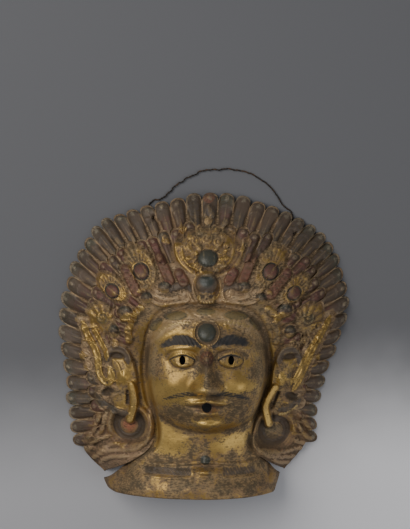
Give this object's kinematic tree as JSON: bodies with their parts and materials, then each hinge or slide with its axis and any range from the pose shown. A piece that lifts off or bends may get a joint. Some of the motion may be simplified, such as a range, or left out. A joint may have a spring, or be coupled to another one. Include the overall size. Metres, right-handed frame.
{
  "type": "copper repousse mask",
  "caption": "Hollow hammered copper mask with a crown of hair locks, ear discs, a flared neck and a twisted hanging wire.",
  "frame": {"origin": "under the middle of the whole part, on the plane of the back rim", "axes": "+X to the right of the face as seen from the front, +Y towards the crown, +Z out of the front of the face"},
  "size_m": [0.3176, 0.3454, 0.1133],
  "materials": {
    "mask_sheet": "hammered copper, fire-gilt and worn on the face, red paint and dark patina in the hair",
    "hanging_wire": "rusty brown twisted wire"
  },
  "bodies": {
    "root": {"mask_sheet": "mask_sheet", "hanging_wire": "hanging_wire"}
  },
  "joints": []
}
